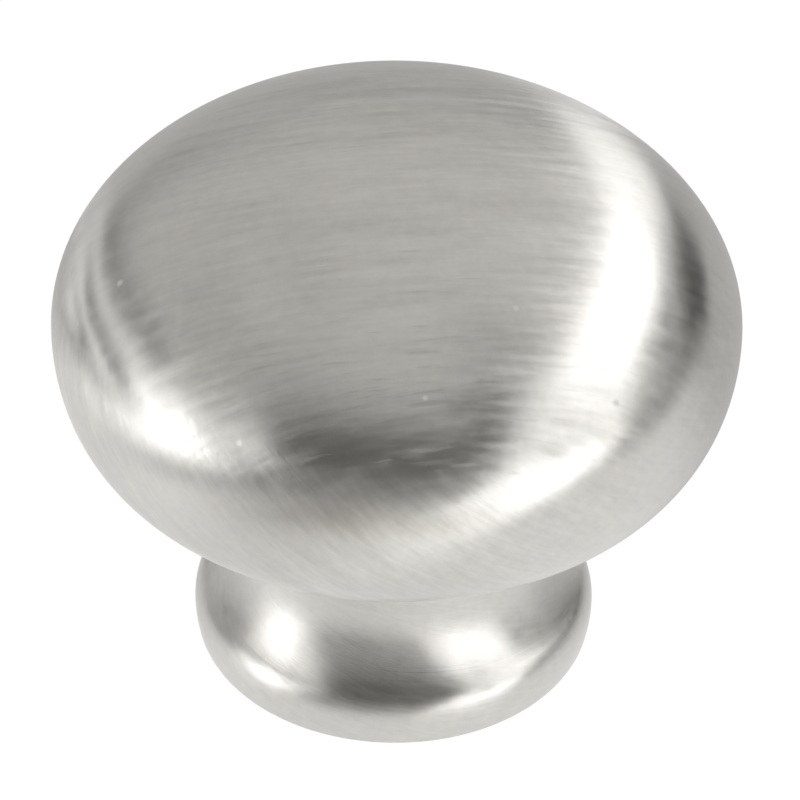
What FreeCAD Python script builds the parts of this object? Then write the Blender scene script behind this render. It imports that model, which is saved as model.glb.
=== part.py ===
import FreeCAD, Part
import math
import os

# A round cabinet knob, cast, brushed and plated as one solid piece: a low domed head with a
# rounded lip, a conical underside, a short waisted neck that flares out below, and a foot
# with a sloping flank and a rounded shoulder.  The foot's flat rim goes against the door or
# drawer front, and a screw that comes through the door from behind enters the tapped hole in
# the foot's centre.
#
# Sizes are in millimetres and angles in degrees.  +Z runs along the knob's axis, out of the
# door.  The mounting face is at Z = 0 and the axis is at X = Y = 0.
# A face's lean is the angle by which its outward normal points above the horizontal.  It is
# 0 on an upright wall, 90 on a flat top, and negative on a face that looks down at the door.

# Foot. Its widest circle stands out past the neck by foot_spread all round. Its flank and the
# neck's flare are straight in section, and meet at a crease because the flank leans more.
neck_diameter = 14.6
foot_spread = 2.08
foot_widest_height = 1.4
foot_side_radius = 5.0
foot_shoulder_radius = 1.8
foot_edge_radius = 0.3
flank_lean = 45.0
flank_length = 0.85
flare_lean = 22.5
flare_length = 1.65

# Neck and head. The lip is the rounded side below the head's widest circle, and the crown is
# the dome above it.
neck_length = 1.26
underside_fillet_radius = 4.0
underside_rise = 20.0
head_diameter = 31.75
lip_width = 3.3
lip_depth = 5.45
crown_height = 8.9

# Back of the foot, with a shallow ring sunk between the bearing rim and the screw boss
bearing_rim_width = 1.6
screw_boss_diameter = 9.0
relief_depth = 0.8
relief_draft = 12.0

# Tapped hole for a number 8-32 machine screw, drilled at the thread's minor diameter
thread_minor_diameter = 3.45
drilled_depth = 14.0
drill_point_angle = 118.0
hole_mouth_chamfer = 0.45


def point(radius, height):
    """A point of the half section, which lies in the plane Y = 0."""
    return FreeCAD.Vector(radius, 0, height)


def cosine(angle):
    return math.cos(math.radians(angle))


def sine(angle):
    return math.sin(math.radians(angle))


def on_circle(centre, radius, lean):
    """The point of a circle about centre where the circle's own normal has this lean."""
    return centre + point(radius * cosine(lean), radius * sine(lean))


def arc(centre, radius, first_lean, last_lean):
    """An arc of the section, named by the leans at its two ends."""
    middle_lean = (first_lean + last_lean) / 2
    return Part.Arc(
        on_circle(centre, radius, first_lean),
        on_circle(centre, radius, middle_lean),
        on_circle(centre, radius, last_lean),
    )


def hollow_arc(centre, radius, first_lean, last_lean):
    """The same for a hollow curve, whose normal points at the circle's centre."""
    return arc(centre, radius, first_lean + 180, last_lean + 180)


def start_of(curve):
    return curve.value(curve.FirstParameter)


def end_of(curve):
    return curve.value(curve.LastParameter)


def line_up(start, lean, length):
    """A straight line of the section, up from start on a face with this lean."""
    return Part.LineSegment(start, start + length * point(-sine(lean), cosine(lean)))


def foot_curves():
    """The foot from its rim up to the neck: edge, side, shoulder, flank, flare, neck curve."""
    foot_radius = neck_diameter / 2 + foot_spread
    side_centre = point(foot_radius - foot_side_radius, foot_widest_height)

    # The edge is a small circle that stands on the mounting face and touches the side inside.
    drop = foot_widest_height - foot_edge_radius
    reach = math.sqrt((foot_side_radius - foot_edge_radius) ** 2 - drop ** 2)
    edge_centre = side_centre + point(reach, -drop)
    edge_lean = -math.degrees(math.atan2(drop, reach))
    edge = arc(edge_centre, foot_edge_radius, -90, edge_lean)
    side = arc(side_centre, foot_side_radius, edge_lean, 0)

    shoulder_centre = point(foot_radius - foot_shoulder_radius, foot_widest_height)
    shoulder = arc(shoulder_centre, foot_shoulder_radius, 0, flank_lean)
    flank = line_up(end_of(shoulder), flank_lean, flank_length)
    flare = line_up(end_of(flank), flare_lean, flare_length)

    # The neck curve's radius is the one that carries the flare round into the upright neck.
    flare_top = end_of(flare)
    curve_radius = (flare_top.x - neck_diameter / 2) / (1 - cosine(flare_lean))
    curve_centre = flare_top + curve_radius * point(cosine(flare_lean), sine(flare_lean))
    neck_curve = hollow_arc(curve_centre, curve_radius, flare_lean, 0)
    return [edge, side, shoulder, flank, flare, neck_curve]


def underside_curves(neck_foot):
    """The neck, the fillet at its top and the cone that runs out under the head's lip."""
    underside_lean = underside_rise - 90
    neck_top = neck_foot + point(0, neck_length)
    neck = Part.LineSegment(neck_foot, neck_top)

    fillet_centre = neck_top + point(underside_fillet_radius, 0)
    fillet = hollow_arc(fillet_centre, underside_fillet_radius, 0, underside_lean)

    # The lip is part of an upright ellipse. Its parameter runs from 0 at the lowest point
    # to 90 degrees at the widest, and the cone touches it where both have the same lean.
    touch = math.atan2(lip_width * sine(underside_rise), lip_depth * cosine(underside_rise))
    touch_radius = head_diameter / 2 - lip_width + lip_width * math.sin(touch)
    cone_start = end_of(fillet)
    cone_run = touch_radius - cone_start.x
    cone_end = cone_start + point(cone_run, cone_run * math.tan(math.radians(underside_rise)))
    cone = Part.LineSegment(cone_start, cone_end)

    lip_centre = point(head_diameter / 2 - lip_width, cone_end.z + lip_depth * math.cos(touch))
    lip_bottom = lip_centre - point(0, lip_depth)
    lip_ellipse = Part.Ellipse(lip_bottom, lip_centre + point(lip_width, 0), lip_centre)
    lip = Part.ArcOfEllipse(lip_ellipse, touch, math.pi / 2)
    return [neck, fillet, cone, lip]


def crown_curve(widest):
    """The top of the head, a quarter of a lying ellipse from the widest circle to the axis."""
    centre = point(0, widest.z)
    ellipse = Part.Ellipse(widest, centre + point(0, crown_height), centre)
    return Part.ArcOfEllipse(ellipse, 0, math.pi / 2).toBSpline()


def line_through(points):
    """A run of straight lines from each point to the next."""
    return [Part.LineSegment(first, second) for first, second in zip(points, points[1:])]


def back_lines(rim_edge):
    """The back of the foot, from its rim in to the top of the hole: relief, boss, hole."""
    # The relief's walls are drafted so that the die can leave it.
    draft = relief_depth * math.tan(math.radians(relief_draft))
    relief_outer_radius = rim_edge.x - bearing_rim_width
    boss_radius = screw_boss_diameter / 2

    hole_radius = thread_minor_diameter / 2
    point_height = hole_radius / math.tan(math.radians(drill_point_angle / 2))
    return line_through([
        rim_edge,
        point(relief_outer_radius, 0),
        point(relief_outer_radius - draft, relief_depth),
        point(boss_radius + draft, relief_depth),
        point(boss_radius, 0),
        point(hole_radius + hole_mouth_chamfer, 0),
        point(hole_radius, hole_mouth_chamfer),
        point(hole_radius, drilled_depth),
        point(0, drilled_depth + point_height),
    ])


def knob():
    """The whole knob: its half section, turned once about the axis."""
    foot = foot_curves()
    underside = underside_curves(end_of(foot[-1]))
    crown = crown_curve(end_of(underside[-1]))
    back = back_lines(start_of(foot[0]))
    core = Part.LineSegment(end_of(back[-1]), end_of(crown))
    outline = foot + underside + [crown, core] + back[::-1]
    section = Part.Face(Part.Wire([curve.toShape() for curve in outline]))
    return section.revolve(FreeCAD.Vector(0, 0, 0), FreeCAD.Vector(0, 0, 1), 360)


os.makedirs("parts", exist_ok=True)
knob().exportStep("parts/knob.step")
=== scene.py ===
import math

import bmesh
import bpy
from mathutils import Matrix, Vector


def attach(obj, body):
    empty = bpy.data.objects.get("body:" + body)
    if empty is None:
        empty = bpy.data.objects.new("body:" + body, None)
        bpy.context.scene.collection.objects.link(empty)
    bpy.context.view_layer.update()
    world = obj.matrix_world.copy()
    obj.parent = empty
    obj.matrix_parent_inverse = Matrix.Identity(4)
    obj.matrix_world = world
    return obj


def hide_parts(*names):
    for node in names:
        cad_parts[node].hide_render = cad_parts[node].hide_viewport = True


# A brushed nickel cabinet knob. Lengths are metres and angles are degrees. +Z is the knob's axis
# and Z = 0 its mounting face. A face's lean is the angle by which its normal points above the
# horizontal.

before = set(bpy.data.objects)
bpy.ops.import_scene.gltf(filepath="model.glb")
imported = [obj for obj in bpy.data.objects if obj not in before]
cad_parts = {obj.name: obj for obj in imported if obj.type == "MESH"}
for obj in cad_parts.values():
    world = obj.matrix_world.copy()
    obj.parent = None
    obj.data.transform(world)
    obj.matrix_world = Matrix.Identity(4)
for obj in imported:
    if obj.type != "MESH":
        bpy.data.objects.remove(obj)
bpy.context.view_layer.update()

MM = 0.001

# The knob's section, as the turned solid has it
NECK_RADIUS = 7.3 * MM
FOOT_SPREAD = 2.08 * MM
FOOT_WIDEST_HEIGHT = 1.4 * MM
FOOT_SIDE_RADIUS = 5.0 * MM
FOOT_SHOULDER_RADIUS = 1.8 * MM
FOOT_EDGE_RADIUS = 0.3 * MM
FLANK_LEAN = 45.0
FLANK_LENGTH = 0.85 * MM
FLARE_LEAN = 22.5
FLARE_LENGTH = 1.65 * MM
NECK_LENGTH = 1.26 * MM
UNDERSIDE_FILLET_RADIUS = 4.0 * MM
UNDERSIDE_RISE = 20.0
HEAD_RADIUS = 15.875 * MM
LIP_WIDTH = 3.3 * MM
LIP_DEPTH = 5.45 * MM
CROWN_HEIGHT = 8.9 * MM
BEARING_RIM_WIDTH = 1.6 * MM
SCREW_BOSS_RADIUS = 4.5 * MM
RELIEF_DEPTH = 0.8 * MM
RELIEF_DRAFT = 12.0
THREAD_MINOR_RADIUS = 1.725 * MM
THREAD_MAJOR_RADIUS = 2.08 * MM
THREAD_PITCH = 0.794 * MM
THREAD_LENGTH = 11.0 * MM
DRILLED_DEPTH = 14.0 * MM
DRILL_POINT_ANGLE = 118.0
HOLE_MOUTH_CHAMFER = 0.45 * MM

# How finely the section and the turn are divided
STEPS_AROUND = 216
ARC_STEP = 0.16 * MM
ROWS_PER_PITCH = 8
MERGE_DISTANCE = 0.0001 * MM


def cosine(angle):
    return math.cos(math.radians(angle))


def sine(angle):
    return math.sin(math.radians(angle))


def tangent(angle):
    return math.tan(math.radians(angle))


def ellipse_points(centre, half_width, half_height, first, last):
    """Points of an ellipse from the first angle to the last, evenly spread over the angle."""
    span = math.radians(abs(last - first)) * max(half_width, half_height)
    count = max(3, math.ceil(span / ARC_STEP))
    angles = [first + (last - first) * i / count for i in range(count + 1)]
    return [(centre[0] + half_width * cosine(a), centre[1] + half_height * sine(a)) for a in angles]


def arc_points(centre, radius, first_lean, last_lean):
    return ellipse_points(centre, radius, radius, first_lean, last_lean)


def up_along(start, lean, length):
    """The end of a straight line of the section that leaves start on a face with this lean."""
    return (start[0] - length * sine(lean), start[1] + length * cosine(lean))


def foot_points():
    """The foot from its rim up to the neck: edge, side, shoulder, flank, flare, neck curve."""
    foot_radius = NECK_RADIUS + FOOT_SPREAD
    side_centre = (foot_radius - FOOT_SIDE_RADIUS, FOOT_WIDEST_HEIGHT)
    drop = FOOT_WIDEST_HEIGHT - FOOT_EDGE_RADIUS
    reach = math.sqrt((FOOT_SIDE_RADIUS - FOOT_EDGE_RADIUS) ** 2 - drop ** 2)
    edge_centre = (side_centre[0] + reach, FOOT_EDGE_RADIUS)
    edge_lean = -math.degrees(math.atan2(drop, reach))
    edge = arc_points(edge_centre, FOOT_EDGE_RADIUS, -90, edge_lean)
    side = arc_points(side_centre, FOOT_SIDE_RADIUS, edge_lean, 0)
    shoulder_centre = (foot_radius - FOOT_SHOULDER_RADIUS, FOOT_WIDEST_HEIGHT)
    shoulder = arc_points(shoulder_centre, FOOT_SHOULDER_RADIUS, 0, FLANK_LEAN)
    crease = up_along(shoulder[-1], FLANK_LEAN, FLANK_LENGTH)
    flare_top = up_along(crease, FLARE_LEAN, FLARE_LENGTH)
    curve_radius = (flare_top[0] - NECK_RADIUS) / (1 - cosine(FLARE_LEAN))
    curve_centre = (NECK_RADIUS + curve_radius, flare_top[1] + curve_radius * sine(FLARE_LEAN))
    neck_curve = arc_points(curve_centre, curve_radius, FLARE_LEAN + 180, 180)
    return edge + side + shoulder + [crease] + neck_curve


def head_points(neck_foot):
    """From the neck's foot to the middle of the crown: fillet, underside cone, lip, crown."""
    neck_top = neck_foot[1] + NECK_LENGTH
    fillet_centre = (NECK_RADIUS + UNDERSIDE_FILLET_RADIUS, neck_top)
    fillet = arc_points(fillet_centre, UNDERSIDE_FILLET_RADIUS, 180, 90 + UNDERSIDE_RISE)
    # The cone touches the lip's ellipse at this angle below its widest point.
    steepness = LIP_DEPTH * cosine(UNDERSIDE_RISE)
    touch = math.degrees(math.atan2(steepness, LIP_WIDTH * sine(UNDERSIDE_RISE)))
    lip_centre_radius = HEAD_RADIUS - LIP_WIDTH
    touch_radius = lip_centre_radius + LIP_WIDTH * cosine(touch)
    cone_end = fillet[-1][1] + (touch_radius - fillet[-1][0]) * tangent(UNDERSIDE_RISE)
    widest = cone_end + LIP_DEPTH * sine(touch)
    lip = ellipse_points((lip_centre_radius, widest), LIP_WIDTH, LIP_DEPTH, -touch, 0)
    crown = ellipse_points((0, widest), HEAD_RADIUS, CROWN_HEIGHT, 0, 90)
    return fillet + lip + crown[:-1] + [(0, widest + CROWN_HEIGHT)]


def back_points(rim_edge):
    """The back of the foot, from its rim in to the hole's mouth: relief and screw boss."""
    draft = RELIEF_DEPTH * tangent(RELIEF_DRAFT)
    relief_radius = rim_edge[0] - BEARING_RIM_WIDTH
    return [
        (relief_radius, 0),
        (relief_radius - draft, RELIEF_DEPTH),
        (SCREW_BOSS_RADIUS + draft, RELIEF_DEPTH),
        (SCREW_BOSS_RADIUS, 0),
        (THREAD_MINOR_RADIUS + HOLE_MOUTH_CHAMFER, 0),
    ]


def hole_points():
    """The drilled hole from its chamfered mouth to its point, with rows close enough to thread."""
    rows = math.ceil((THREAD_LENGTH - HOLE_MOUTH_CHAMFER) / THREAD_PITCH * ROWS_PER_PITCH)
    step = (THREAD_LENGTH - HOLE_MOUTH_CHAMFER) / rows
    wall = [(THREAD_MINOR_RADIUS, HOLE_MOUTH_CHAMFER + step * i) for i in range(rows + 1)]
    point_height = THREAD_MINOR_RADIUS / tangent(DRILL_POINT_ANGLE / 2)
    return wall + [(THREAD_MINOR_RADIUS, DRILLED_DEPTH), (0, DRILLED_DEPTH + point_height)]


SWEEP_LEAST_RADIUS = 2.0 * MM


def sweeps(points):
    """How far a mark at 45 degrees has turned about Z at each point of the section, in radians."""
    turns = [0.0]
    for first, second in zip(points, points[1:]):
        radius = max((first[0] + second[0]) / 2, SWEEP_LEAST_RADIUS)
        turns.append(turns[-1] + math.dist(first, second) / radius)
    return turns


def section_mesh():
    """The half section as a row of points, with each point's share of the thread and its sweep."""
    foot = foot_points()
    outside = foot + head_points(foot[-1])
    back = back_points(foot[0])
    hole = hole_points()
    points = hole[::-1] + back[::-1] + outside
    kept = [points[0]]
    for point in points[1:]:
        if math.dist(point, kept[-1]) > 10 * MERGE_DISTANCE:
            kept.append(point)
    mesh = bpy.data.meshes.new("section")
    mesh.from_pydata([(r, 0, z) for r, z in kept], [(i, i + 1) for i in range(len(kept) - 1)], [])
    threaded = mesh.attributes.new("threaded", "FLOAT", "POINT")
    for item, (r, z) in zip(threaded.data, kept):
        on_wall = abs(r - THREAD_MINOR_RADIUS) < MERGE_DISTANCE and z <= THREAD_LENGTH
        item.value = 1.0 if on_wall else 0.0
    sweep = mesh.attributes.new("sweep", "FLOAT", "POINT")
    for item, value in zip(sweep.data, sweeps(kept)):
        item.value = value
    return mesh


class Tree:
    """A node tree with short calls to add a node and to link its sockets.

    An input is named as its socket is, with _ for a space, or by its number, as _0 or _1.
    """

    def __init__(self, tree):
        self.tree = tree

    def node(self, kind, settings=None, **inputs):
        node = self.tree.nodes.new(kind)
        for name, value in (settings or {}).items():
            setattr(node, name, value)
        for name, value in inputs.items():
            key = int(name[1:]) if name[1:].isdigit() else name.replace("_", " ")
            self.give(node.inputs[key], value)
        return node

    def give(self, socket, value):
        if isinstance(value, bpy.types.NodeSocket):
            self.tree.links.new(value, socket)
        elif isinstance(value, bpy.types.Node):
            self.tree.links.new(next(s for s in value.outputs if s.enabled), socket)
        else:
            socket.default_value = value

    def math(self, operation, *values):
        node = self.tree.nodes.new("ShaderNodeMath")
        node.operation = operation
        for socket, value in zip(node.inputs, values):
            self.give(socket, value)
        return node.outputs[0]

    def vector(self, operation, *values):
        node = self.tree.nodes.new("ShaderNodeVectorMath")
        node.operation = operation
        for socket, value in zip([s for s in node.inputs if s.enabled], values):
            self.give(socket, value)
        return next(s for s in node.outputs if s.enabled)


def section_value(t, section, row, name):
    """The section's own value by this name, at the section point of each row."""
    value = t.node("GeometryNodeInputNamedAttribute", {"data_type": "FLOAT"}, Name=name)
    return t.node("GeometryNodeSampleIndex", {"data_type": "FLOAT", "domain": "POINT"},
                  Geometry=section, Index=row, Value=value)


def turning_tree(material):
    """Turns a row of section points about Z, and cuts the thread's V groove as a helix."""
    group = bpy.data.node_groups.new("turned_body", "GeometryNodeTree")
    interface = group.interface
    interface.new_socket("Section", in_out="INPUT", socket_type="NodeSocketGeometry")
    for name, kind in (("Steps Around", "NodeSocketInt"), ("Thread Pitch", "NodeSocketFloat"),
                       ("Thread Depth", "NodeSocketFloat"), ("Merge Distance", "NodeSocketFloat")):
        interface.new_socket(name, in_out="INPUT", socket_type=kind)
    interface.new_socket("Body", in_out="OUTPUT", socket_type="NodeSocketGeometry")
    t = Tree(group)
    given = t.node("NodeGroupInput").outputs

    count = t.node("GeometryNodeAttributeDomainSize", {"component": "MESH"}, Geometry=given["Section"])
    points = count.outputs["Point Count"]
    columns = t.node("FunctionNodeIntegerMath", {"operation": "ADD"}, _0=given["Steps Around"], _1=1)
    grid = t.node("GeometryNodeMeshGrid", Vertices_X=columns, Vertices_Y=points)
    index = t.node("GeometryNodeInputIndex")
    row = t.node("FunctionNodeIntegerMath", {"operation": "MODULO"}, _0=index, _1=points)
    column = t.node("FunctionNodeIntegerMath", {"operation": "DIVIDE_FLOOR"}, _0=index, _1=points)
    place = t.node("GeometryNodeSampleIndex", {"data_type": "FLOAT_VECTOR", "domain": "POINT"},
                   Geometry=given["Section"], Value=t.node("GeometryNodeInputPosition"), Index=row)
    threaded = section_value(t, given["Section"], row, "threaded")
    turn = t.math("DIVIDE", column, given["Steps Around"])

    height = t.node("ShaderNodeSeparateXYZ", Vector=place).outputs["Z"]
    along = t.math("SUBTRACT", t.math("DIVIDE", height, given["Thread Pitch"]), turn)
    wave = t.math("PINGPONG", along, 0.5)
    groove = t.math("MULTIPLY", t.math("MULTIPLY", wave, 2.0), given["Thread Depth"])
    cut = t.math("MULTIPLY", groove, threaded)
    deeper = t.node("ShaderNodeCombineXYZ", X=cut)
    moved = t.vector("ADD", place, deeper)
    turned = t.node("ShaderNodeVectorRotate", {"rotation_type": "Z_AXIS"},
                    Vector=moved, Angle=t.math("MULTIPLY", turn, 2 * math.pi))

    body = t.node("GeometryNodeSetPosition", Geometry=grid.outputs["Mesh"], Position=turned)
    sweep = section_value(t, given["Section"], row, "sweep")
    marked = t.node("GeometryNodeStoreNamedAttribute", {"data_type": "FLOAT", "domain": "POINT"},
                    Geometry=body, Name="sweep", Value=sweep)
    closed = t.node("GeometryNodeMergeByDistance", Geometry=marked, Distance=given["Merge Distance"])
    smooth = t.node("GeometryNodeSetShadeSmooth", Geometry=closed)
    real = t.node("GeometryNodeRealizeInstances", Geometry=smooth)
    painted = t.node("GeometryNodeSetMaterial", Geometry=real, Material=material)
    t.node("NodeGroupOutput", Body=painted)
    return group


def set_inputs(modifier, values):
    """Sets a Geometry Nodes modifier's inputs by the names that its tree gives them."""
    for item in modifier.node_group.interface.items_tree:
        if item.item_type == "SOCKET" and item.in_out == "INPUT" and item.name in values:
            modifier[item.identifier] = values[item.name]


def plain_object(source, name):
    """The evaluated form of an object as a plain mesh object, which takes its place."""
    bpy.context.view_layer.update()
    evaluated = source.evaluated_get(bpy.context.evaluated_depsgraph_get())
    mesh = bpy.data.meshes.new_from_object(evaluated)
    mesh.name = name
    bpy.data.objects.remove(source)
    result = bpy.data.objects.new(name, mesh)
    bpy.context.scene.collection.objects.link(result)
    return result


def face_outward(mesh):
    work = bmesh.new()
    work.from_mesh(mesh)
    bmesh.ops.recalc_face_normals(work, faces=work.faces)
    if work.calc_volume(signed=True) < 0:
        bmesh.ops.reverse_faces(work, faces=work.faces)
    work.to_mesh(mesh)
    work.free()


CORNER_ANGLE = 25.0


def turned_knob(material):
    """The whole knob, turned from its section, with its thread cut into the hole's wall."""
    source = bpy.data.objects.new("knob_section", section_mesh())
    bpy.context.scene.collection.objects.link(source)
    modifier = source.modifiers.new("turn", "NODES")
    modifier.node_group = turning_tree(material)
    set_inputs(modifier, {
        "Steps Around": STEPS_AROUND,
        "Thread Pitch": THREAD_PITCH,
        "Thread Depth": THREAD_MAJOR_RADIUS - THREAD_MINOR_RADIUS,
        "Merge Distance": MERGE_DISTANCE,
    })
    body = plain_object(source, "knob_body")
    face_outward(body.data)
    body.data.set_sharp_from_angle(angle=math.radians(CORNER_ANGLE))
    return body


# Nickel plate over brushed metal, with its two tones in soft clouds
NICKEL = (0.598, 0.590, 0.564)
WARM_NICKEL = (0.604, 0.588, 0.558)
CLOUDS_PER_METRE = 220.0
CLOUD_CONTRAST = 1.6
CROWN_ROUGHNESS = 0.295
SIDE_ROUGHNESS = 0.36
FOOT_ROUGHNESS = 0.30
LEAST_ROUGHNESS = 0.28
ANISOTROPY = 0.80

# Where the brush marks run. A slant is how far they go down to the right, a spread is the turn
# of their two crossing sets, and a bow is half their curve per metre.
CROWN_MARKS_TURN = 6.0
CROWN_MARKS_BOW = 8.0
CROWN_MARKS_SPREAD = (-4.0, 4.0)
SIDE_MARKS_SLANT = 45.0
FOOT_MARKS_SLANT = 15.0
ROUND_MARKS_SPREAD = (-9.0, 9.0)
FOOT_RADIUS = NECK_RADIUS + FOOT_SPREAD

# Each fade is the pair of leans, heights or places between which marks come in
HEAD_START = (8.0 * MM, 9.0 * MM)
CROWN_MARKS_FADE = (18.0, 38.0)
CROWN_LINES_FADE = (10.0, 34.0)
SIDE_LINES_FADE = (24.0, 46.0)
FRONT_FADE = (-14.0 * MM, -6.0 * MM)
ENDS_FADE = (8.0 * MM, 13.0 * MM)
RIGHT_FADE = (4.0 * MM, 13.0 * MM)

# How strong the marks are, and what the head's two ends and its right side lose of that
CROWN_MARKS_STRENGTH = 1.2
FRONT_MARKS_STRENGTH = 1.6
SIDE_MARKS_STRENGTH = 1.1
FOOT_MARKS_STRENGTH = 0.6
ENDS_LOSS = 0.5
RIGHT_LOSS = 0.45

# Sizes of the marks. Hairlines are the few places where fine noise passes its threshold.
LINE_SIZE = (0.34 * MM, 4.0 * MM)
BAND_SIZE = (1.2 * MM, 8.0 * MM)
HAIR_SIZE = (0.13 * MM, 5.0 * MM)
HAIR_THRESHOLD = (0.30, 0.50)
GRAIN_SIZE = 0.6 * MM
LINE_DEPTH = 0.006 * MM

# What each kind of mark adds to the surface's height, to its roughness and to its lightness
MARK_HEIGHT = {"lines": 1.0, "bands": 1.2, "grain": 0.5}
MARK_ROUGHNESS = {"lines": 0.10, "bands": 0.08, "grain": 0.08, "hairs": 0.07}
MARK_LIGHTNESS = {"lines": 0.16, "bands": 0.12, "grain": 0.20, "hairs": -0.07}

# Specks and one dull nick: place in mm, radius in mm, and how much lighter they are. The core
# is the share of the radius that has the full change.
SPECKS = (
    ((1.29, -12.28, 23.56), 0.17, 0.30),
    ((5.30, -7.82, 25.12), 0.20, 0.14),
    ((-12.51, -3.77, 23.02), 0.24, 0.45),
    ((-6.90, -12.90, 21.35), 0.20, 0.25),
    ((9.81, -10.40, 21.84), 0.24, -0.20),
)
SPECK_CORE = 0.3


def smooth_step(t, value, low, high):
    """0 below low, 1 above high, and smooth between."""
    node = t.node("ShaderNodeMapRange", {"interpolation_type": "SMOOTHSTEP"})
    t.give(node.inputs["Value"], value)
    t.give(node.inputs["From Min"], low)
    t.give(node.inputs["From Max"], high)
    return node.outputs["Result"]


def mix_vectors(t, factor, first, second):
    node = t.node("ShaderNodeMix", {"data_type": "VECTOR"})
    t.give(node.inputs["Factor"], factor)
    t.give(node.inputs[4], first)
    t.give(node.inputs[5], second)
    return node.outputs[1]


def mix_numbers(t, factor, first, second):
    node = t.node("ShaderNodeMix")
    t.give(node.inputs["Factor"], factor)
    t.give(node.inputs[2], first)
    t.give(node.inputs[3], second)
    return node.outputs[0]


def mix_colours(t, factor, first, second):
    node = t.node("ShaderNodeMix", {"data_type": "RGBA"})
    t.give(node.inputs["Factor"], factor)
    t.give(node.inputs[6], (*first, 1.0))
    t.give(node.inputs[7], (*second, 1.0))
    return node.outputs[2]


def product(t, first, *others):
    for other in others:
        first = t.math("MULTIPLY", first, other)
    return first


def scaled(t, vector, factor):
    result = t.vector("SCALE", vector)
    t.give(result.node.inputs["Scale"], factor)
    return result


def on_slope(t, upward, fade):
    """0 on faces that lean less than the fade's first angle, and 1 past its second."""
    return smooth_step(t, upward, sine(fade[0]), sine(fade[1]))


def without(t, loss, share):
    """What is left of 1 where the share of the loss is taken off."""
    return t.math("SUBTRACT", 1.0, t.math("MULTIPLY", share, loss))


def noise(t, place, scale=1.0, detail=1.0, roughness=0.5):
    """Cloudy noise about 0, from about -0.5 to 0.5."""
    texture = t.node("ShaderNodeTexNoise", Vector=place, Scale=scale, Detail=detail,
                     Roughness=roughness)
    return t.math("SUBTRACT", texture.outputs[0], 0.5)


def slanted(t, around, uphill, slant):
    """The direction across marks that run down to the right by slant, seen from outside."""
    return t.vector("ADD", scaled(t, around, sine(slant)), scaled(t, uphill, cosine(slant)))


def across_marks(t, place, normal, on_head, on_crown):
    """The direction across the brush marks, in which the metal spreads what it reflects."""
    x = t.node("ShaderNodeSeparateXYZ", Vector=place).outputs["X"]
    bow = t.math("ADD", t.math("MULTIPLY", x, 2 * CROWN_MARKS_BOW), tangent(CROWN_MARKS_TURN))
    along_crown = t.node("ShaderNodeCombineXYZ", X=1.0, Y=bow)
    across_crown = t.vector("NORMALIZE", t.vector("CROSS_PRODUCT", normal, along_crown))
    around = t.vector("NORMALIZE", t.vector("CROSS_PRODUCT", (0.0, 0.0, 1.0), place))
    uphill = t.vector("CROSS_PRODUCT", normal, around)
    across_foot = slanted(t, around, uphill, FOOT_MARKS_SLANT)
    across_side = slanted(t, around, uphill, SIDE_MARKS_SLANT)
    across_round = mix_vectors(t, on_head, across_foot, across_side)
    return t.vector("NORMALIZE", mix_vectors(t, on_crown, across_round, across_crown))


def crown_share(t, place, upward, on_head):
    """How strong the crown's straight marks are: strongest in front, and weaker at both ends."""
    parts = t.node("ShaderNodeSeparateXYZ", Vector=place).outputs
    behind = smooth_step(t, parts["Y"], *FRONT_FADE)
    strength = mix_numbers(t, behind, FRONT_MARKS_STRENGTH, CROWN_MARKS_STRENGTH)
    at_ends = smooth_step(t, t.math("ABSOLUTE", parts["X"]), *ENDS_FADE)
    flat = on_slope(t, upward, CROWN_LINES_FADE)
    return product(t, on_head, flat, strength, without(t, ENDS_LOSS, at_ends))


def round_share(t, place, upward, on_head):
    """How strong the slanting marks are: on the head's side and the foot, less on the right."""
    x = t.node("ShaderNodeSeparateXYZ", Vector=place).outputs["X"]
    on_top = t.math("MULTIPLY", on_head, on_slope(t, upward, SIDE_LINES_FADE))
    strength = mix_numbers(t, on_head, FOOT_MARKS_STRENGTH, SIDE_MARKS_STRENGTH)
    at_right = smooth_step(t, x, *RIGHT_FADE)
    return product(t, without(t, 1.0, on_top), strength, without(t, RIGHT_LOSS, at_right))


def crown_lines(t, place, size, turn):
    """Straight lines across the crown, with the slight bow of a belt's swing."""
    width, length = size
    parts = t.node("ShaderNodeSeparateXYZ", Vector=place).outputs
    level = t.math("SUBTRACT", parts["Y"], product(t, parts["X"], parts["X"], CROWN_MARKS_BOW))
    across = t.math("SUBTRACT", t.math("MULTIPLY", level, cosine(CROWN_MARKS_TURN + turn)),
                    t.math("MULTIPLY", parts["X"], sine(CROWN_MARKS_TURN + turn)))
    drawn = t.node("ShaderNodeCombineXYZ", X=t.math("DIVIDE", parts["X"], length),
                   Y=t.math("DIVIDE", across, width), Z=t.math("DIVIDE", parts["Z"], length))
    return noise(t, drawn)


def round_lines(t, place, on_head, size, turn):
    """Lines that wind down round the head's side and the foot."""
    width, length = size
    flat = t.vector("NORMALIZE", t.vector("MULTIPLY", place, (1.0, 1.0, 0.0)))
    sweep = t.node("ShaderNodeAttribute", {"attribute_name": "sweep"}).outputs["Fac"]
    foot_pace = 1 / tangent(FOOT_MARKS_SLANT + turn)
    side_pace = 1 / tangent(SIDE_MARKS_SLANT + turn)
    pace = mix_numbers(t, on_head, foot_pace, side_pace)
    unwound = t.node("ShaderNodeVectorRotate", {"rotation_type": "Z_AXIS"}, Vector=flat,
                     Angle=t.math("MULTIPLY", sweep, pace))
    radius = mix_numbers(t, on_head, FOOT_RADIUS, HEAD_RADIUS)
    wide = scaled(t, unwound, t.math("DIVIDE", radius, width))
    down = t.math("MULTIPLY", sweep, t.math("DIVIDE", radius, length))
    return noise(t, t.vector("ADD", wide, t.node("ShaderNodeCombineXYZ", Z=down)))


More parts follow.
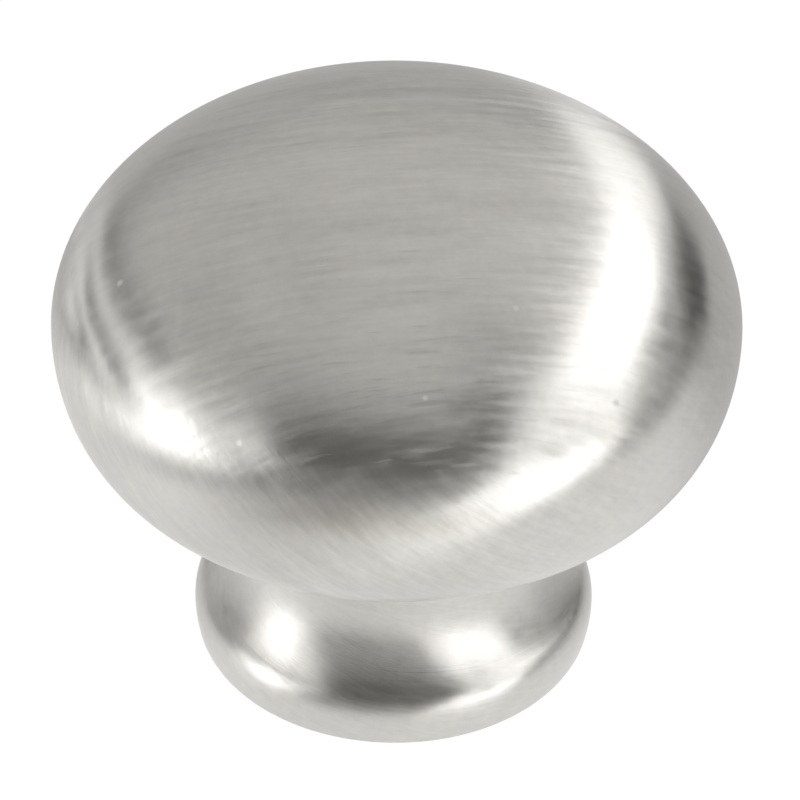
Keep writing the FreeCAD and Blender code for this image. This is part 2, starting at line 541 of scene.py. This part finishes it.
def crossed_lines(t, place, on_head, shares, size):
    """Crown lines and round lines together, each in two sets that cross at a small angle."""
    on_top, around = shares
    total = 0.0
    for crown_turn, round_turn in zip(CROWN_MARKS_SPREAD, ROUND_MARKS_SPREAD):
        crown = t.math("MULTIPLY", on_top, crown_lines(t, place, size, crown_turn))
        sides = t.math("MULTIPLY", around, round_lines(t, place, on_head, size, round_turn))
        total = t.math("ADD", total, t.math("ADD", crown, sides))
    return total


def brush_marks(t, place, upward, on_head):
    """The kinds of marks that brushing leaves, by name."""
    shares = (crown_share(t, place, upward, on_head), round_share(t, place, upward, on_head))
    fine = crossed_lines(t, place, on_head, shares, HAIR_SIZE)
    return {
        "lines": crossed_lines(t, place, on_head, shares, LINE_SIZE),
        "bands": crossed_lines(t, place, on_head, shares, BAND_SIZE),
        "grain": noise(t, place, scale=1 / GRAIN_SIZE, detail=3.0, roughness=0.6),
        "hairs": smooth_step(t, fine, *HAIR_THRESHOLD),
    }


def weighed(t, marks, weights):
    """The sum of the marks, each times its weight."""
    total = 0.0
    for name, weight in weights.items():
        total = t.math("ADD", total, t.math("MULTIPLY", marks[name], weight))
    return total


def specks(t, place):
    """The few specks of the crown, as lighter or darker spots with soft rims."""
    total = 0.0
    for centre, radius, change in SPECKS:
        spot = tuple(value * MM for value in centre)
        away = t.node("ShaderNodeVectorMath", {"operation": "DISTANCE"}, _0=place, _1=spot)
        outside = smooth_step(t, away.outputs["Value"], SPECK_CORE * radius * MM, radius * MM)
        total = t.math("ADD", total, t.math("MULTIPLY", without(t, 1.0, outside), change))
    return total


def brushed_nickel():
    """Satin nickel: straight marks across the crown, slanting marks round the side and foot."""
    material = bpy.data.materials.new("brushed_nickel")
    material.use_nodes = True
    t = Tree(material.node_tree)
    shader = next(n for n in material.node_tree.nodes if n.type == "BSDF_PRINCIPLED")
    shader.inputs["Metallic"].default_value = 1.0
    shader.inputs["Anisotropic"].default_value = ANISOTROPY

    normal = t.node("ShaderNodeNewGeometry").outputs["Normal"]
    place = t.node("ShaderNodeTexCoord").outputs["Object"]
    upward = t.node("ShaderNodeSeparateXYZ", Vector=normal).outputs["Z"]
    height = t.node("ShaderNodeSeparateXYZ", Vector=place).outputs["Z"]
    on_head = smooth_step(t, height, *HEAD_START)
    on_crown = t.math("MULTIPLY", on_head, on_slope(t, upward, CROWN_MARKS_FADE))
    marks = brush_marks(t, place, upward, on_head)

    t.give(shader.inputs["Tangent"], across_marks(t, place, normal, on_head, on_crown))
    bump = t.node("ShaderNodeBump", Strength=1.0, Distance=LINE_DEPTH,
                  Height=weighed(t, marks, MARK_HEIGHT))
    t.give(shader.inputs["Normal"], bump)

    below_crown = mix_numbers(t, on_head, FOOT_ROUGHNESS, SIDE_ROUGHNESS)
    even = mix_numbers(t, on_crown, below_crown, CROWN_ROUGHNESS)
    rough = t.math("ADD", even, weighed(t, marks, MARK_ROUGHNESS))
    t.give(shader.inputs["Roughness"], t.math("MAXIMUM", rough, LEAST_ROUGHNESS))

    clouds = t.math("MULTIPLY", noise(t, place, scale=CLOUDS_PER_METRE, detail=2.0), CLOUD_CONTRAST)
    toned = mix_colours(t, t.math("ADD", clouds, 0.5), NICKEL, WARM_NICKEL)
    lightness = t.math("ADD", t.math("ADD", 1.0, weighed(t, marks, MARK_LIGHTNESS)), specks(t, place))
    t.give(shader.inputs["Base Color"], scaled(t, toned, lightness))
    return material


# Camera, from the outlines of the head and foot in the photograph
IMAGE_SIZE = 800
CAMERA_DISTANCE = 0.350
CAMERA_ELEVATION = 39.64
CAMERA_TARGET_HEIGHT = 14.0 * MM
CAMERA_ROLL = 0.68
PIXELS_PER_METRE = 21610.0
TARGET_PIXEL = (395.99, 386.91)
SENSOR_WIDTH = 36.0
CAMERA_NEAREST = 0.01


def add_camera():
    data = bpy.data.cameras.new("camera")
    data.sensor_width = SENSOR_WIDTH
    data.lens = PIXELS_PER_METRE * CAMERA_DISTANCE * SENSOR_WIDTH / IMAGE_SIZE
    data.shift_x = (IMAGE_SIZE / 2 - TARGET_PIXEL[0]) / IMAGE_SIZE
    data.shift_y = (TARGET_PIXEL[1] - IMAGE_SIZE / 2) / IMAGE_SIZE
    data.clip_start = CAMERA_NEAREST
    camera = bpy.data.objects.new("camera", data)
    bpy.context.scene.collection.objects.link(camera)
    target = Vector((0, 0, CAMERA_TARGET_HEIGHT))
    outward = Vector((0, -cosine(CAMERA_ELEVATION), sine(CAMERA_ELEVATION)))
    camera.location = target + outward * CAMERA_DISTANCE
    look = outward.to_track_quat("Z", "Y").to_matrix()
    camera.rotation_euler = (look @ Matrix.Rotation(math.radians(CAMERA_ROLL), 3, "Z")).to_euler()
    bpy.context.scene.camera = camera


def emitter(name):
    """An empty material for something that glows, and a tree to build it with."""
    material = bpy.data.materials.new(name)
    material.use_nodes = True
    material.node_tree.nodes.clear()
    return material, Tree(material.node_tree)


def card_material(name, brightness, edge, colour):
    """A glowing or dark card that fades out over its rim, edge wide as a share of its half size."""
    material, t = emitter(name)
    place = t.node("ShaderNodeTexCoord").outputs["UV"]
    centred = t.vector("SUBTRACT", place, (0.5, 0.5, 0.0))
    parts = t.node("ShaderNodeSeparateXYZ", Vector=centred)
    across = t.math("POWER", t.math("ABSOLUTE", t.math("MULTIPLY", parts.outputs["X"], 2.0)), 3.0)
    up = t.math("POWER", t.math("ABSOLUTE", t.math("MULTIPLY", parts.outputs["Y"], 2.0)), 3.0)
    radius = t.math("POWER", t.math("ADD", across, up), 1 / 3.0)
    inside = t.math("SUBTRACT", 1.0, smooth_step(t, radius, 1.0 - edge, 1.0))
    glow = t.node("ShaderNodeEmission", Color=(*colour, 1.0), Strength=brightness)
    clear = t.node("ShaderNodeBsdfTransparent")
    mixed = t.node("ShaderNodeMixShader", _0=inside, _1=clear, _2=glow)
    t.node("ShaderNodeOutputMaterial", Surface=mixed)
    return material


NEUTRAL = (1.0, 1.0, 1.0)
WARM = (1.007, 1.0, 0.983)
AMBER = (1.30, 1.0, 0.50)
CARD_DISTANCE = 1.5
CARD_GAP = 0.02
CARD_STEPS = 24
cards_made = []


def stage_card(name, points, faces, places, brightness, edge, colour):
    """A card that only the metal sees, as a reflection. Places are its points' own UV places."""
    mesh = bpy.data.meshes.new(name)
    mesh.from_pydata(points, [], faces)
    layer = mesh.uv_layers.new(name="card")
    for loop in mesh.loops:
        layer.data[loop.index].uv = places[loop.vertex_index]
    mesh.materials.append(card_material(name, brightness, edge, colour))
    result = bpy.data.objects.new(name, mesh)
    bpy.context.scene.collection.objects.link(result)
    result.visible_camera = False
    result.visible_shadow = False
    result.visible_diffuse = False


def card(name, azimuth, elevation, width, height, brightness, edge=0.5, turn=0.0, colour=NEUTRAL):
    """A card in the studio, bent round the knob. Azimuth 0 is in front, positive to the right.

    Width and height are the angles that it fills as the knob sees it. Each card stands a little
    nearer than the one before, so a later card covers an earlier one.
    """
    distance = CARD_DISTANCE - CARD_GAP * len(cards_made)
    cards_made.append(name)
    level = Vector((sine(azimuth), -cosine(azimuth), 0))
    right = Vector((cosine(azimuth), sine(azimuth), 0))
    outward = level * cosine(elevation) + Vector((0, 0, sine(elevation)))
    up = Vector((0, 0, cosine(elevation))) - level * sine(elevation)
    across = (right * cosine(turn) + up * sine(turn)) * math.tan(math.radians(width / 2))
    along = (up * cosine(turn) - right * sine(turn)) * math.tan(math.radians(height / 2))
    steps = range(CARD_STEPS + 1)
    places = [(column / CARD_STEPS, row / CARD_STEPS) for row in steps for column in steps]
    ways = [outward + across * (2 * u - 1) + along * (2 * v - 1) for u, v in places]
    points = [way.normalized() * distance for way in ways]
    stage_card(name, points, grid_faces(CARD_STEPS), places, brightness, edge, colour)


def grid_faces(steps):
    """The faces of a square grid with this many steps each way."""
    row = steps + 1
    starts = [line * row + column for line in range(steps) for column in range(steps)]
    return [(start, start + 1, start + row + 1, start + row) for start in starts]


FLOOR_PATCH_LIFT = 0.01 * MM
floor_patches_made = []


def floor_patch(name, centre, size, brightness, edge=0.5, turn=0.0, colour=NEUTRAL):
    """A lighter or darker area of the floor, which only the metal sees."""
    floor_patches_made.append(name)
    height = FLOOR_PATCH_LIFT * len(floor_patches_made)
    across = Vector((cosine(turn), sine(turn), 0)) * size[0]
    along = Vector((-sine(turn), cosine(turn), 0)) * size[1]
    middle = Vector((centre[0], centre[1], height))
    places = ((0, 0), (1, 0), (1, 1), (0, 1))
    points = [middle + across * (u - 0.5) + along * (v - 0.5) for u, v in places]
    stage_card(name, points, [(0, 1, 2, 3)], places, brightness, edge, colour)


FLOOR_SIZE = 40.0
FLOOR_GLOW_TO_CAMERA = 0.95
FLOOR_GLOW_TO_METAL = 0.98
FLOOR_DIFFUSE = 0.10


def add_floor():
    """A white floor. It looks white to the camera and in the metal, and keeps a soft shadow."""
    mesh = bpy.data.meshes.new("floor")
    half = FLOOR_SIZE / 2
    corners = [(-half, -half, 0), (half, -half, 0), (half, half, 0), (-half, half, 0)]
    mesh.from_pydata(corners, [], [(0, 1, 2, 3)])
    material, t = emitter("floor_white")
    paths = t.node("ShaderNodeLightPath").outputs
    to_camera = t.math("MULTIPLY", paths["Is Camera Ray"], FLOOR_GLOW_TO_CAMERA)
    to_metal = t.math("MULTIPLY", paths["Is Glossy Ray"], FLOOR_GLOW_TO_METAL)
    strength = t.math("ADD", to_camera, to_metal)
    glow = t.node("ShaderNodeEmission", Color=(1.0, 1.0, 1.0, 1.0), Strength=strength)
    matt = t.node("ShaderNodeBsdfDiffuse", Color=(FLOOR_DIFFUSE, FLOOR_DIFFUSE, FLOOR_DIFFUSE, 1.0))
    both = t.node("ShaderNodeAddShader", _0=glow, _1=matt)
    t.node("ShaderNodeOutputMaterial", Surface=both)
    mesh.materials.append(material)
    floor = bpy.data.objects.new("floor", mesh)
    bpy.context.scene.collection.objects.link(floor)


# The walls are dark at the floor and light above the ramp's angle
WALL_LOW = 0.06
WALL_HIGH = 0.70
WALL_RAMP = 20.0


def add_surround():
    """The studio's grey walls and ceiling in the metal, and white behind the knob for the camera."""
    world = bpy.data.worlds.new("studio")
    bpy.context.scene.world = world
    world.use_nodes = True
    world.node_tree.nodes.clear()
    t = Tree(world.node_tree)
    way = t.node("ShaderNodeTexCoord").outputs["Generated"]
    upward = t.node("ShaderNodeSeparateXYZ", Vector=way).outputs["Z"]
    angle = t.math("MULTIPLY", t.math("ARCSINE", upward), 180 / math.pi)
    ramp = smooth_step(t, angle, 0.0, WALL_RAMP)
    wall = t.math("ADD", t.math("MULTIPLY", ramp, WALL_HIGH - WALL_LOW), WALL_LOW)
    camera_ray = t.node("ShaderNodeLightPath").outputs["Is Camera Ray"]
    strength = mix_numbers(t, camera_ray, wall, 1.0)
    tint = mix_colours(t, camera_ray, WARM, NEUTRAL)
    background = t.node("ShaderNodeBackground", Color=tint, Strength=strength)
    t.node("ShaderNodeOutputWorld", Surface=background)


def add_studio():
    add_floor()
    add_surround()
    card("ceiling_front", -90, 51, 103, 74, 0.51, edge=0.99, turn=-3, colour=WARM)
    card("left_shade", -116, 13, 68, 27, 0.00, edge=0.20, turn=41)
    card("left_wall", -49, 27, 18, 64, 1.71, edge=0.35, turn=-68)
    card("left_wing", -105, 19, 85, 7, 1.89, edge=0.59, turn=24)
    card("left_lamp", -65, 3, 72, 16, 5.26, edge=0.81, turn=-22)
    card("opening", -8, 40, 70, 47, 0.04, edge=0.34, turn=-1)
    card("opening_right", 44, 42, 71, 39, 0.08, edge=0.42, turn=64)
    card("right_shade", 123, 16, 64, 30, 0.00, edge=0.36, turn=-59)
    card("right_arch", 104, 42, 70, 19, 2.99, edge=0.16, turn=-19)
    card("right_arch_back", 135, 25, 49, 4, 3.40, edge=0.83, turn=24)
    card("right_arch_end", 153, 12, 18, 39, 1.61, edge=0.42, turn=41)
    card("right_wall", 73, 38, 34, 50, 1.68, edge=0.47, turn=56)
    card("right_lamp", 30, 9, 59, 16, 2.05, edge=0.43, turn=-130)
    card("left_low", -69, 14, 29, 4, 4.98, edge=0.47, turn=-52)
    card("right_low", 53, 8, 48, 16, 3.47, edge=0.44, turn=6)
    card("left_line", -121, 61, 14, 19, 0.92, edge=0.99, turn=77, colour=WARM)
    card("front_bar", 3, 20, 55, 6, 0.56, edge=0.77, turn=5, colour=WARM)
    floor_patch("floor_glow", (0.184, -0.227), (0.084, 0.662), 4.08, edge=0.41, turn=48)
    floor_patch("floor_dark", (-0.021, -0.038), (0.084, 0.049), 0.88, edge=0.67, turn=29)
    floor_patch("floor_dark_left", (-0.314, -0.242), (0.547, 0.773), 0.00, edge=0.08, turn=-180)
    floor_patch("floor_dark_right", (0.275, 0.233), (0.804, 0.305), 0.59, edge=0.08, turn=24)
    floor_patch("floor_glow_left", (-0.663, 0.176), (1.166, 0.258), 5.40, edge=0.12, turn=-30)
    floor_patch("floor_glow_front", (0.001, -0.739), (1.363, 0.413), 5.72, edge=0.09, turn=48)
    floor_patch("floor_dark_near", (0.004, -0.174), (0.202, 0.293), 0.09, edge=0.36, turn=10, colour=AMBER)
    floor_patch("floor_spot_left", (-0.096, -0.127), (0.079, 0.178), 2.09, edge=0.75, turn=5)
    floor_patch("floor_spot_right", (0.060, -0.173), (0.087, 0.088), 1.75, edge=0.77, turn=12)


material = brushed_nickel()
knob = turned_knob(material)
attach(knob, "root")
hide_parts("knob")
add_studio()
add_camera()

scene = bpy.context.scene
scene.view_settings.view_transform = "Standard"
